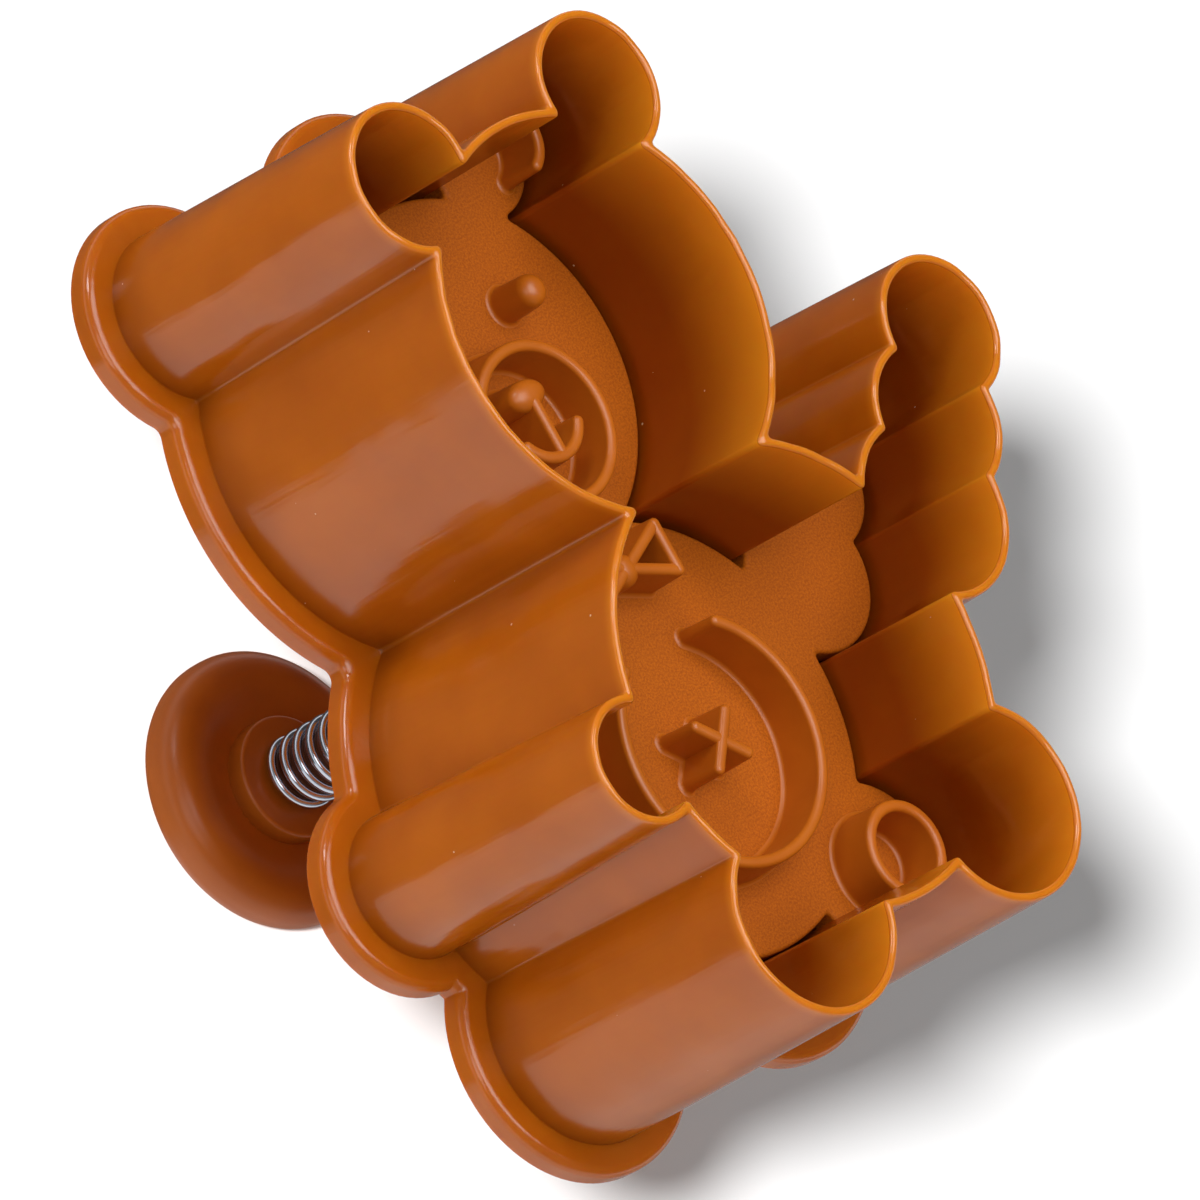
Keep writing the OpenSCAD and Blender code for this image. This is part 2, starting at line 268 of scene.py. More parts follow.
def moulded_caramel_polypropylene(name, dark, light, glow, glow_colour, roughness):
    """Polypropylene from a polished mould: a glossy, slightly cloudy caramel that swells a little between its draw
    marks and holds some dust; painted shade darkens the wall's foot over the flange, and a painted glow, standing
    in for light coming through the wall, brightens it towards the edge over the length given"""
    material, tree, shader = start_material(name)
    cloud_size, dust_gap, swell_size, grit_size = 9 * MM, 1.7 * MM, 12 * MM, 0.25 * MM
    mark_width, mark_length = 1.1 * MM, 22 * MM
    swell_depth, mark_depth, root_shade_height = 0.6 * MM, 0.05 * MM, 5 * MM
    # The first colour is painted shade for the wall's foot; the second is real dust
    root_shade_colour, dust_colour = linear("#7E3A04"), linear("#E2C09A")
    place = add(tree, "ShaderNodeTexCoord")
    height = add(tree, "ShaderNodeSeparateXYZ", {}, {"Vector": (place, "Object")})
    # Painted glow: the colour brightens towards the edge, standing in for light coming through the wall
    thin = add(tree, "ShaderNodeMapRange", {"From Min": EDGE - glow, "From Max": EDGE}, {"Value": (height, "Z")})
    glow_share = add(tree, "ShaderNodeMath", {"operation": "POWER", 1: 1.3}, {0: (thin, 0)})
    cloud = add(tree, "ShaderNodeTexNoise", {"Scale": 1 / cloud_size, "Detail": 3.0}, {"Vector": (place, "Object")})
    body = add(tree, "ShaderNodeMix", {"data_type": "RGBA", 6: dark, 7: light}, {0: (cloud, "Fac")})
    # Painted shade: the wall is darkened at its foot and fades out a few millimetres up; the flange itself is left
    # alone
    above = add(tree, "ShaderNodeMath", {"operation": "GREATER_THAN", 1: FLANGE_FRONT + FOOT_DIP}, {0: (height, "Z")})
    root = add(tree, "ShaderNodeMapRange", {"interpolation_type": "SMOOTHSTEP", "From Min": FLANGE_FRONT,
                                            "From Max": FLANGE_FRONT + root_shade_height, "To Min": 0.5, "To Max": 0.0},
               {"Value": (height, "Z")})
    root_shade_share = add(tree, "ShaderNodeMath", {"operation": "MULTIPLY"}, {0: (above, 0), 1: (root, 0)})
    deep = add(tree, "ShaderNodeMix", {"data_type": "RGBA", 7: root_shade_colour}, {0: (root_shade_share, 0), 6: (body, 2)})
    lit = add(tree, "ShaderNodeMix", {"data_type": "RGBA", 7: glow_colour}, {0: (glow_share, 0), 6: (deep, 2)})
    grains = add(tree, "ShaderNodeTexVoronoi", {"Scale": 1 / dust_gap}, {"Vector": (place, "Object")})
    chance = add(tree, "ShaderNodeSeparateColor", {}, {"Color": (grains, "Color")})
    size = add(tree, "ShaderNodeMapRange", {"From Min": 0.75, "From Max": 1.0, "To Min": 0.0, "To Max": 0.06},
               {"Value": (chance, "Red")})
    dust = add(tree, "ShaderNodeMath", {"operation": "LESS_THAN"}, {0: (grains, "Distance"), 1: (size, 0)})
    dusty = add(tree, "ShaderNodeMix", {"data_type": "RGBA", 7: dust_colour}, {0: (dust, 0), 6: (lit, 2)})
    tree.links.new(dusty.outputs[2], shader.inputs["Base Color"])
    swell = add(tree, "ShaderNodeTexNoise", {"Scale": 1 / swell_size, "Detail": 2.0}, {"Vector": (place, "Object")})
    waves = add(tree, "ShaderNodeBump", {"Strength": 1.0, "Distance": swell_depth}, {"Height": (swell, "Fac")})
    drawn = add(tree, "ShaderNodeMapping", {"Scale": (1 / mark_width, 1 / mark_width, 1 / mark_length)},
                {"Vector": (place, "Object")})
    marks = add(tree, "ShaderNodeTexNoise", {"Scale": 1.0, "Detail": 2.0}, {"Vector": (drawn, "Vector")})
    grit = add(tree, "ShaderNodeTexNoise", {"Scale": 1 / grit_size, "Detail": 1.0}, {"Vector": (place, "Object")})
    relief = add(tree, "ShaderNodeMath", {"operation": "MULTIPLY_ADD", 1: 0.06}, {0: (grit, "Fac"), 2: (marks, "Fac")})
    bump = add(tree, "ShaderNodeBump", {"Strength": 0.8, "Distance": mark_depth},
               {"Height": (relief, 0), "Normal": (waves, 0)})
    tree.links.new(bump.outputs[0], shader.inputs["Normal"])
    haze = add(tree, "ShaderNodeMapRange", {"To Min": roughness - 0.04, "To Max": roughness + 0.05},
               {"Value": (marks, "Fac")})
    tree.links.new(haze.outputs[0], shader.inputs["Roughness"])
    shader.inputs["IOR"].default_value = 1.53
    shader.inputs["Subsurface Weight"].default_value = 0.5
    shader.inputs["Subsurface Radius"].default_value = (1.0, 0.6, 0.2)
    shader.inputs["Subsurface Scale"].default_value = 1.8 * MM
    return material


def grained_caramel_polypropylene(settings):
    """Polypropylene from a spark-eroded mould: a matt face with a fine sandy grain"""
    material, tree, shader = start_material("Grained caramel polypropylene")
    # Real grain is about 0.1 mm; drawn at 0.2 mm so that it shows in the picture
    grit_size, grit_depth, cloud_size = 0.2 * MM, 0.05 * MM, 7 * MM
    place = add(tree, "ShaderNodeTexCoord")
    grit = add(tree, "ShaderNodeTexNoise", {"Scale": 1 / grit_size, "Detail": 2.0, "Roughness": 0.7},
               {"Vector": (place, "Object")})
    cloud = add(tree, "ShaderNodeTexNoise", {"Scale": 1 / cloud_size, "Detail": 2.0}, {"Vector": (place, "Object")})
    spread = add(tree, "ShaderNodeMapRange", {"From Min": 0.36, "From Max": 0.64}, {"Value": (grit, "Fac")})
    mixed = add(tree, "ShaderNodeMath", {"operation": "MULTIPLY_ADD", 1: 0.35}, {0: (cloud, "Fac"), 2: (spread, 0)})
    share = add(tree, "ShaderNodeMath", {"operation": "MULTIPLY", 1: 0.74}, {0: (mixed, 0)})
    body = add(tree, "ShaderNodeMix", {"data_type": "RGBA", 6: settings.grain_dark, 7: settings.grain_light},
               {0: (share, 0)})
    tree.links.new(body.outputs[2], shader.inputs["Base Color"])
    bump = add(tree, "ShaderNodeBump", {"Strength": 0.5, "Distance": grit_depth}, {"Height": (grit, "Fac")})
    tree.links.new(bump.outputs[0], shader.inputs["Normal"])
    haze = add(tree, "ShaderNodeMapRange", {"To Min": 0.5, "To Max": 0.66}, {"Value": (grit, "Fac")})
    tree.links.new(haze.outputs[0], shader.inputs["Roughness"])
    shader.inputs["IOR"].default_value = 1.5
    # The pits of the grain swallow most of the gloss
    shader.inputs["Specular IOR Level"].default_value = 0.15
    return material


def satin_caramel_polypropylene(settings):
    """The same moulding on the raised ribs, where the mould was cut and polished by hand: smoother and deeper"""
    material, tree, shader = start_material("Satin caramel polypropylene")
    cloud_size, grit_size, grit_depth = 3 * MM, 0.4 * MM, 0.03 * MM
    place = add(tree, "ShaderNodeTexCoord")
    cloud = add(tree, "ShaderNodeTexNoise", {"Scale": 1 / cloud_size, "Detail": 3.0}, {"Vector": (place, "Object")})
    body = add(tree, "ShaderNodeMix", {"data_type": "RGBA", 6: settings.rib_dark, 7: settings.rib_light},
               {0: (cloud, "Fac")})
    tree.links.new(body.outputs[2], shader.inputs["Base Color"])
    grit = add(tree, "ShaderNodeTexNoise", {"Scale": 1 / grit_size, "Detail": 2.0}, {"Vector": (place, "Object")})
    bump = add(tree, "ShaderNodeBump", {"Strength": 0.2, "Distance": grit_depth}, {"Height": (grit, "Fac")})
    tree.links.new(bump.outputs[0], shader.inputs["Normal"])
    haze = add(tree, "ShaderNodeMapRange", {"To Min": 0.28, "To Max": 0.42}, {"Value": (grit, "Fac")})
    tree.links.new(haze.outputs[0], shader.inputs["Roughness"])
    shader.inputs["IOR"].default_value = 1.5
    return material


def satin_brown_polypropylene(name, dark, light):
    """Polypropylene from a plain turned mould: a satin brown with faint turning rings and a soft cloudiness"""
    material, tree, shader = start_material(name)
    cloud_size, grit_size, ring_gap, relief_depth = 5 * MM, 0.3 * MM, 0.5 * MM, 0.03 * MM
    # A wave texture repeats after this length at a scale of 1
    wave_repeat = 0.314
    place = add(tree, "ShaderNodeTexCoord")
    cloud = add(tree, "ShaderNodeTexNoise", {"Scale": 1 / cloud_size, "Detail": 4.0}, {"Vector": (place, "Object")})
    body = add(tree, "ShaderNodeMix", {"data_type": "RGBA", 6: dark, 7: light}, {0: (cloud, "Fac")})
    tree.links.new(body.outputs[2], shader.inputs["Base Color"])
    grit = add(tree, "ShaderNodeTexNoise", {"Scale": 1 / grit_size, "Detail": 2.0}, {"Vector": (place, "Object")})
    turning = add(tree, "ShaderNodeTexWave", {"wave_type": "RINGS", "rings_direction": "Z",
                                              "Scale": wave_repeat / ring_gap, "Distortion": 0.4},
                  {"Vector": (place, "Object")})
    both = add(tree, "ShaderNodeMath", {"operation": "MULTIPLY_ADD", 1: 0.3}, {0: (turning, "Fac"), 2: (grit, "Fac")})
    bump = add(tree, "ShaderNodeBump", {"Strength": 0.2, "Distance": relief_depth}, {"Height": (both, 0)})
    tree.links.new(bump.outputs[0], shader.inputs["Normal"])
    haze = add(tree, "ShaderNodeMapRange", {"To Min": 0.28, "To Max": 0.38}, {"Value": (grit, "Fac")})
    tree.links.new(haze.outputs[0], shader.inputs["Roughness"])
    shader.inputs["IOR"].default_value = 1.5
    shader.inputs["Specular IOR Level"].default_value = 0.38
    return material


def drawn_spring_steel(settings):
    """Bright steel wire, drawn through a die: a clear mirror with fine lines that blur it a little"""
    material, tree, shader = start_material("Drawn spring steel")
    line_size, tarnish_size = 0.8 * MM, 4 * MM
    place = add(tree, "ShaderNodeTexCoord")
    lines = add(tree, "ShaderNodeTexNoise", {"Scale": 1 / line_size, "Detail": 1.0}, {"Vector": (place, "Object")})
    tarnish = add(tree, "ShaderNodeTexNoise", {"Scale": 1 / tarnish_size, "Detail": 3.0},
                  {"Vector": (place, "Object")})
    body = add(tree, "ShaderNodeMix", {"data_type": "RGBA", 6: settings.dark, 7: settings.light},
               {0: (tarnish, "Fac")})
    tree.links.new(body.outputs[2], shader.inputs["Base Color"])
    haze = add(tree, "ShaderNodeMapRange", {"To Min": 0.12, "To Max": 0.2}, {"Value": (lines, "Fac")})
    tree.links.new(haze.outputs[0], shader.inputs["Roughness"])
    shader.inputs["Metallic"].default_value = 1.0
    return material


# What a user would change

class ShellSettings(bpy.types.PropertyGroup):
    """Cutting shell"""
    flange_round: FloatProperty(name="Flange round", description="Round of the flange's front edge",
                                default=0.85 * MM, unit="LENGTH")
    roughness: FloatProperty(name="Roughness", description="Roughness of the polished wall", default=0.17,
                             subtype="FACTOR")
    colour: FloatVectorProperty(name="Colour", description="Caramel of the wall", size=4, subtype="COLOR",
                                default=linear("#C2670C"))
    deep_colour: FloatVectorProperty(name="Deep colour", description="Caramel in the cloudier places", size=4,
                                     subtype="COLOR", default=linear("#9E4B05"))
    # Painted glow: the wall's colour at its edge, standing in for light coming through it
    edge_glow_colour: FloatVectorProperty(name="Edge colour", description="Caramel of the thin edge", size=4,
                                     subtype="COLOR", default=linear("#CE7814"))
    # Painted shade: the darkest colour of the inside, which is a darker copy of the wall's caramel
    inner_shade_colour: FloatVectorProperty(name="Inner colour", description="Caramel deep inside the wall", size=4,
                                      subtype="COLOR", default=linear("#8A3602"))
    # Painted glow: inside of the wall near the edge, standing in for light coming through it
    glow_colour: FloatVectorProperty(name="Glow colour", description="Inside of the wall where light comes through",
                                     size=4, subtype="COLOR", default=linear("#F09A20"))


class StampSettings(bpy.types.PropertyGroup):
    """Stamp plate"""
    rib_w: FloatProperty(name="Rib width", description="Width of the marking ribs", default=1.2 * MM, unit="LENGTH")
    rib_foot: FloatProperty(name="Rib foot", description="Round where a rib stands on the face", default=0.35 * MM,
                            unit="LENGTH")
    grain_dark: FloatVectorProperty(name="Dark grain", description="Low places of the grained face", size=4,
                                    subtype="COLOR", default=linear("#984808"))
    grain_light: FloatVectorProperty(name="Light grain", description="High places of the grained face", size=4,
                                     subtype="COLOR", default=linear("#BE640E"))
    rib_dark: FloatVectorProperty(name="Dark rib", description="Deeper colour of the ribs", size=4, subtype="COLOR",
                                  default=linear("#AE580E"))
    rib_light: FloatVectorProperty(name="Light rib", description="Lighter colour of the ribs", size=4,
                                   subtype="COLOR", default=linear("#C06812"))


class KnobSettings(bpy.types.PropertyGroup):
    """Push knob and stem"""
    radius: FloatProperty(name="Radius", description="Radius of the knob", default=11.5 * MM, unit="LENGTH")
    dark: FloatVectorProperty(name="Dark", description="Deeper brown of the knob", size=4, subtype="COLOR",
                              default=linear("#9A4A0E"))
    light: FloatVectorProperty(name="Light", description="Lighter brown of the knob", size=4, subtype="COLOR",
                               default=linear("#B45E14"))
    # Painted shade: the stem is made dark so the gaps between the spring's coils read as shade
    stem: FloatVectorProperty(name="Stem", description="Deepest brown of the stem", size=4, subtype="COLOR",
                              default=linear("#321A0C"))


class SpringSettings(bpy.types.PropertyGroup):
    """Return spring"""
    wire: FloatProperty(name="Wire", description="Diameter of the wire", default=0.95 * MM, unit="LENGTH")
    turns: FloatProperty(name="Turns", description="Number of turns", default=20)
    dark: FloatVectorProperty(name="Dark", description="Duller steel", size=4, subtype="COLOR",
                              default=linear("#B0B6C4"))
    light: FloatVectorProperty(name="Light", description="Brighter steel", size=4, subtype="COLOR",
                               default=linear("#DCE0EA"))


class StudioSettings(bpy.types.PropertyGroup):
    """Studio"""
    top: FloatProperty(name="Top", description="Power of the soft light over the cutter", default=9.6, unit="POWER")
    front: FloatProperty(name="Front", description="Power of the wide light beside the camera", default=1.5,
                         unit="POWER")
    left: FloatProperty(name="Left", description="Power of the small light on the left, over the ears", default=2.0,
                        unit="POWER")
    shade: FloatProperty(name="Shade", description="Strength of the light that draws the shadow on the floor",
                         default=5.0)
    floor: FloatVectorProperty(name="Floor", description="Colour of the floor", size=4, subtype="COLOR",
                               default=linear("#F6F6F6"))


class CUTTER_OT_shell(bpy.types.Operator):
    """Builds the cutting shell with its flange, floor and spring housing"""
    bl_idname = "cutter.shell"
    bl_label = "Cutting shell"

    def execute(self, context):
        settings = context.scene.cutter_shell
        bm = bmesh.new()
        # Each level of the section is a margin from the wall's foot, a height and a round for the valleys
        side, back, front = -2.46 * MM, 0.4 * MM, settings.flange_round
        levels = [(r, z, 1.0 * MM) for r, z in rounding((side + back, SHELL_BACK + back), back, 270, 180)]
        levels += [(r, z, 1.1 * MM) for r, z in rounding((side + front, FLANGE_FRONT - front), front, 180, 90, 9)]
        # The wall leans in by 0.8 mm over its 28.7 mm
        drawn_in = 0.8 * MM
        lean = 0.8 / 28.7
        # The wall's foot starts below the flange's face, which draws a fine dark line round it
        levels.append((0, FLANGE_FRONT - FOOT_DIP, 0.5 * MM))
        outer_heights, inner_heights = (31.5, 33, 36, 41, 46, 50, 54, 57, 58.8), (58.8, 57, 54, 50, 46, 42, 36)
        for z in outer_heights:
            levels.append((lean * (z * MM - FLANGE_FRONT), z * MM, 0.3 * MM))
        crest, valley, inner_margin, floor_round = 0.35 * MM, 0.35 * MM, 1.5 * MM, 0.5 * MM
        levels += [(r, z, valley) for r, z in rounding((drawn_in + crest, EDGE - crest), crest, 180, 0, 10)]
        inside = len(levels) - 1
        for z in inner_heights:
            levels.append((inner_margin, z * MM, valley))
        levels += [(r, z, valley) for r, z in rounding((inner_margin + floor_round, SHELL_FLOOR + floor_round),
                                                       floor_round, 180, 270, 4)]
        loops = [draw_outline(bm, *level) for level in levels]
        outer, inner = loops[0], loops[-1]
        for faces in skin(bm, loops)[inside:]:
            for face in faces:
                face.material_index = 1
        # The housing's foot on the floor, its wall, its collar, the guide for the stem and the well for the spring
        tube_foot, tube_r, tube_top = 5.6 * MM, 5.2 * MM, 4.8 * MM
        guide_mouth, guide_r, well_r, well_mouth = 2.3 * MM, 2.1 * MM, 3.6 * MM, 4.0 * MM
        chamfer, guide_chamfer = 0.4 * MM, 0.2 * MM
        tube = [(tube_foot, SHELL_FLOOR), (5.32 * MM, SHELL_FLOOR + 0.12 * MM), (tube_r, SHELL_FLOOR + chamfer),
                (tube_r, COLLAR_BACK - chamfer), (tube_top, COLLAR_BACK), (guide_mouth, COLLAR_BACK),
                (guide_r, COLLAR_BACK - guide_chamfer), (guide_r, GUIDE_BACK), (well_r, GUIDE_BACK),
                (well_r, SHELL_BACK + chamfer), (well_mouth, SHELL_BACK)]
        turned(bm, tube, 72)
        bmesh.ops.triangle_fill(bm, edges=inner + ring_at(bm, tube_foot, SHELL_FLOOR), use_beauty=True)
        bmesh.ops.triangle_fill(bm, edges=outer + ring_at(bm, well_mouth, SHELL_BACK), use_beauty=True)
        # The edge is a little uneven over its last millimetre, as trimmed plastic is
        uneven, depth, wave = 0.2 * MM, 1.0 * MM, 2.0 * MM
        for vert in bm.verts:
            reach = 1 + (vert.co.z - EDGE) / depth
            if reach > 0:
                spot = Vector((vert.co.x, vert.co.y, EDGE)) / wave
                vert.co.z -= reach * uneven * (0.5 + noise.noise(spot) * 0.5)
        # Heights over which the painted glow fades in towards the edge, outside and inside
        edge_glow, inner_glow = 1.2 * MM, 10 * MM
        # The inside wears a darker copy of the outside's caramel, painted shade, with the painted glow near its edge
        make_piece(bm, "cutter_shell_dressed", "shell", ["cutter_shell"],
                   [moulded_caramel_polypropylene("Moulded caramel polypropylene", settings.deep_colour,
                                                  settings.colour, edge_glow, settings.edge_glow_colour,
                                                  settings.roughness),
                    moulded_caramel_polypropylene("Moulded caramel polypropylene inside", settings.inner_shade_colour,
                                                  settings.deep_colour, inner_glow, settings.glow_colour,
                                                  settings.roughness)], crease=24)
        return {"FINISHED"}


def rib_side(half_w, height, foot):
    """Half section of a rib, from its crest down to its buried root, as distances from its middle and heights"""
    draft, buried = 0.1 * MM, -0.3 * MM
    crest = 0.8 * (half_w - draft)
    side = [(0, height)] + rounding((half_w - draft - crest, height - crest), crest, 90, 0, 5)
    side += rounding((half_w + foot, foot), foot, 180, 270, 4)
    return side + [(half_w + foot, buried), (0, buried)]


def draw_side(bm, points, middle, aside):
    """Draws a half section at a place, out to one side, and returns its vertices and edges"""
    verts = [bm.verts.new((middle.x + aside.x * out, middle.y + aside.y * out, STAMP_FACE + up)) for out, up in points]
    return verts, [bm.edges.new(pair) for pair in zip(verts, verts[1:])]


def full_section(bm, points, middle, aside):
    """Draws the closed section of a rib across a line"""
    whole = points + [(-out, up) for out, up in reversed(points[1:-1])]
    verts, edges = draw_side(bm, whole, middle, aside)
    return verts, edges + [bm.edges.new((verts[-1], verts[0]))]


def round_end(bm, middle, points, aside, sweep):
    """Turns a half section about an upright line, for the rounded end of a rib"""
    verts, edges = draw_side(bm, points, middle, aside)
    bmesh.ops.spin(bm, geom=verts + edges, cent=(middle.x, middle.y, 0), axis=UPRIGHT, angle=sweep, steps=10)


def dot_mark(middle, points, widen=1):
    """Round dot, or an oval one that is wider than high"""
    bm = bmesh.new()
    verts, edges = draw_side(bm, points, middle, Vector((1, 0)))
    bmesh.ops.spin(bm, geom=verts + edges, cent=(middle.x, middle.y, 0), axis=UPRIGHT, angle=TURN, steps=36,
                   use_merge=True)
    bmesh.ops.scale(bm, vec=(widen, 1, 1), space=Matrix.Translation((-middle.x, -middle.y, 0)), verts=bm.verts)
    return bm


def ring_mark(middle, radius, points):
    """Rib along a full circle"""
    bm = bmesh.new()
    verts, edges = full_section(bm, points, middle + Vector((radius, 0)), Vector((1, 0)))
    bmesh.ops.spin(bm, geom=verts + edges, cent=(middle.x, middle.y, 0), axis=UPRIGHT, angle=TURN,
                   steps=max(24, round(TURN * radius / (0.5 * MM))), use_merge=True)
    return bm


def arc_mark(middle, radius, start, sweep, points):
    """Rib along part of a circle, with rounded ends"""
    bm = bmesh.new()
    first, last = polar(1, start), polar(1, start + sweep)
    verts, edges = full_section(bm, points, middle + first * radius, first)
    bmesh.ops.spin(bm, geom=verts + edges, cent=(middle.x, middle.y, 0), axis=UPRIGHT, angle=math.radians(sweep),
                   steps=max(12, round(math.radians(sweep) * radius / (0.5 * MM))))
    round_end(bm, middle + first * radius, points, first, -TURN / 2)
    round_end(bm, middle + last * radius, points, last, TURN / 2)
    return bm


def line_mark(start, end, points):
    """Straight rib with rounded ends"""
    bm = bmesh.new()
    along = end - start
    aside = Vector((along.y, -along.x)).normalized()
    verts, edges = full_section(bm, points, start, aside)
    made = bmesh.ops.extrude_edge_only(bm, edges=edges)["geom"]
    bmesh.ops.translate(bm, vec=along.to_3d(), verts=[part for part in made if isinstance(part, bmesh.types.BMVert)])
    round_end(bm, start, points, aside, -TURN / 2)
    round_end(bm, end, points, aside, TURN / 2)
    return bm


class CUTTER_OT_stamp(bpy.types.Operator):
    """Builds the stamp plate with its marking ribs"""
    bl_idname = "cutter.stamp"
    bl_label = "Stamp plate"

    def execute(self, context):
        settings = context.scene.cutter_stamp
        bm = bmesh.new()
        rim, chamfer, edge_round, valley = 2.0 * MM, 0.2 * MM, 0.35 * MM, 0.4 * MM
        levels = [(rim + chamfer, STAMP_BACK, valley), (rim, STAMP_BACK + chamfer, valley)]
        levels += [(r, z, valley)
                   for r, z in rounding((rim + edge_round, STAMP_FACE - edge_round), edge_round, 180, 90, 5)]
        loops = [draw_outline(bm, *level) for level in levels]
        skin(bm, loops)
        socket_foot, socket_r, socket_end = 4.6 * MM, 4.3 * MM, 4.05 * MM
        hole_mouth, hole_r = 2.25 * MM, 2.02 * MM
        turned(bm, [(socket_foot, STAMP_BACK), (socket_r, STAMP_BACK - 0.3 * MM), (socket_r, COLLAR_BACK + 0.25 * MM),
                    (socket_end, COLLAR_BACK), (hole_mouth, COLLAR_BACK), (hole_r, COLLAR_BACK + 0.23 * MM),
                    (hole_r, STEM_TOP), (0, STEM_TOP)], 48)
        bmesh.ops.triangle_fill(bm, edges=loops[0] + ring_at(bm, socket_foot, STAMP_BACK), use_beauty=True)
        bmesh.ops.triangle_fill(bm, edges=loops[-1], use_beauty=True)
        bmesh.ops.remove_doubles(bm, verts=bm.verts, dist=MERGE)
        plate = set(bm.faces)
        tall = RIB_TOP - STAMP_FACE
        rib = rib_side(settings.rib_w / 2, tall, settings.rib_foot)
        # A rib that crosses another stands a hair lower, so that their crests don't share a face
        low_rib = rib_side(settings.rib_w / 2, tall - 0.04 * MM, settings.rib_foot)
        eye_r, nose_r, knot_r, pad_r, toe_r, toe_foot = 1.5 * MM, 1.4 * MM, 1.5 * MM, 1.7 * MM, 0.7 * MM, 0.25 * MM
        muzzle_r, smile_r, ear_mark_r, belly_mark_r, sole_r = 6.4 * MM, 3.6 * MM, 3.2 * MM, 10 * MM, 3.6 * MM
        muzzle = HEAD - Vector((0, 5 * MM))
        nose = muzzle + Vector((0, 2.6 * MM))
        smile = muzzle + Vector((0, 0.8 * MM))
        marks = [dot_mark(HEAD + Vector((side * 6.2, 4.6)) * MM, rib_side(eye_r, tall, settings.rib_foot))
                 for side in (1, -1)]
        marks += [ring_mark(muzzle, muzzle_r, rib),
                  dot_mark(nose, rib_side(nose_r, tall, settings.rib_foot), widen=1.55),
                  line_mark(nose, smile - Vector((0, smile_r)), low_rib),
                  arc_mark(smile, smile_r, 210, 120, rib)]
        marks += [arc_mark(ear, ear_mark_r, angle - 115, 230, rib) for ear, angle in zip(EARS, EAR_ANGLES)]
        middle = BELLY - Vector((0, 1.5 * MM))
        marks.append(arc_mark(middle, belly_mark_r, 125, 290, rib))
        for angle, section in ((45, rib), (135, low_rib)):
            stitch = polar(2.6 * MM, angle)
            marks.append(line_mark(middle - stitch, middle + stitch, section))
        bow = BELLY + Vector((0, 13.5 * MM))
        for side in (1, -1):
            upper, lower = (bow + Vector((side * 5.0, height)) * MM for height in (2.0, -2.0))
            # They start a little apart inside the knot, so that no two sections coincide
            marks += [line_mark(bow.lerp(end, 0.1), end, low_rib) for end in (upper, lower)]
            marks.append(line_mark(upper, lower, rib))
        marks.append(dot_mark(bow, rib_side(knot_r, tall, settings.rib_foot)))
        marks.append(arc_mark(LOW_PAW, 5.4 * MM, -46, 90, rib))
        marks += [ring_mark(foot, sole_r, rib) for foot in FEET]
        marks.append(dot_mark(HIGH_PAW, rib_side(pad_r, tall, settings.rib_foot)))
        marks += [dot_mark(HIGH_PAW + polar(3.2 * MM, angle), rib_side(toe_r, tall, toe_foot))
                  for angle in (6, 48, 90)]
        for mark in marks:
            bmesh.ops.remove_doubles(mark, verts=mark.verts, dist=MERGE)
            gather(bm, mark)
        for face in bm.faces:
            face.material_index = 0 if face in plate else 1
        make_piece(bm, "stamp_plate_dressed", "plunger", ["stamp_plate"],
                   [grained_caramel_polypropylene(settings), satin_caramel_polypropylene(settings)])
        return {"FINISHED"}


class CUTTER_OT_knob(bpy.types.Operator):
    """Builds the push knob and the stem that it sits on"""
    bl_idname = "cutter.knob"
    bl_label = "Knob and stem"

    def execute(self, context):
        settings = context.scene.cutter_knob
        knob_r = settings.radius
        bm = bmesh.new()
        face_round, rim_round = 1.7 * MM, 2.3 * MM
        profile = [(0, 0)] + rounding((knob_r - face_round, face_round), face_round, 270, 360, 8)
        crown = knob_r - rim_round
        profile += rounding((crown, KNOB_BACK - rim_round), rim_round, 0, 90, 12)
        # Inside the rolled rim a smooth dish runs down to the foot of the spring seat
        boss_r, edge_round, dish, dish_steps = 5.15 * MM, 0.3 * MM, 1.0 * MM, 10
        for i in range(1, dish_steps + 1):
            fall = 0.5 - 0.5 * math.cos(math.pi * i / dish_steps)
            profile.append((crown + (boss_r - crown) * i / dish_steps, KNOB_BACK - dish * fall))
        profile += rounding((boss_r - edge_round, SPRING_SEAT - edge_round), edge_round, 0, 90, 5)
        # The blind hole that the stem sits in, with a small countersink
        hole_r = 2.02 * MM
        profile += [(2.3 * MM, SPRING_SEAT), (hole_r, SPRING_SEAT - 0.25 * MM), (hole_r, STEM_FOOT), (0, STEM_FOOT)]
        turned(bm, profile, 128)
        bmesh.ops.remove_doubles(bm, verts=bm.verts, dist=MERGE)
        make_piece(bm, "push_knob_dressed", "plunger", ["push_knob"],
                   [satin_brown_polypropylene("Satin brown polypropylene", settings.dark, settings.light)])
        bm = bmesh.new()
        rod, chamfer = 2.0 * MM, 0.4 * MM
        turned(bm, [(0, STEM_FOOT), (rod - chamfer, STEM_FOOT), (rod, STEM_FOOT + chamfer), (rod, STEM_TOP - chamfer),
                    (rod - chamfer, STEM_TOP), (0, STEM_TOP)], 48)
        bmesh.ops.remove_doubles(bm, verts=bm.verts, dist=MERGE)
        # The stem's dark brown is painted shade for the gaps between the coils
        make_piece(bm, "plunger_stem_dressed", "plunger", ["plunger_stem"],
                   [satin_brown_polypropylene("Satin dark brown polypropylene, painted shade", settings.stem, settings.dark)])
        return {"FINISHED"}


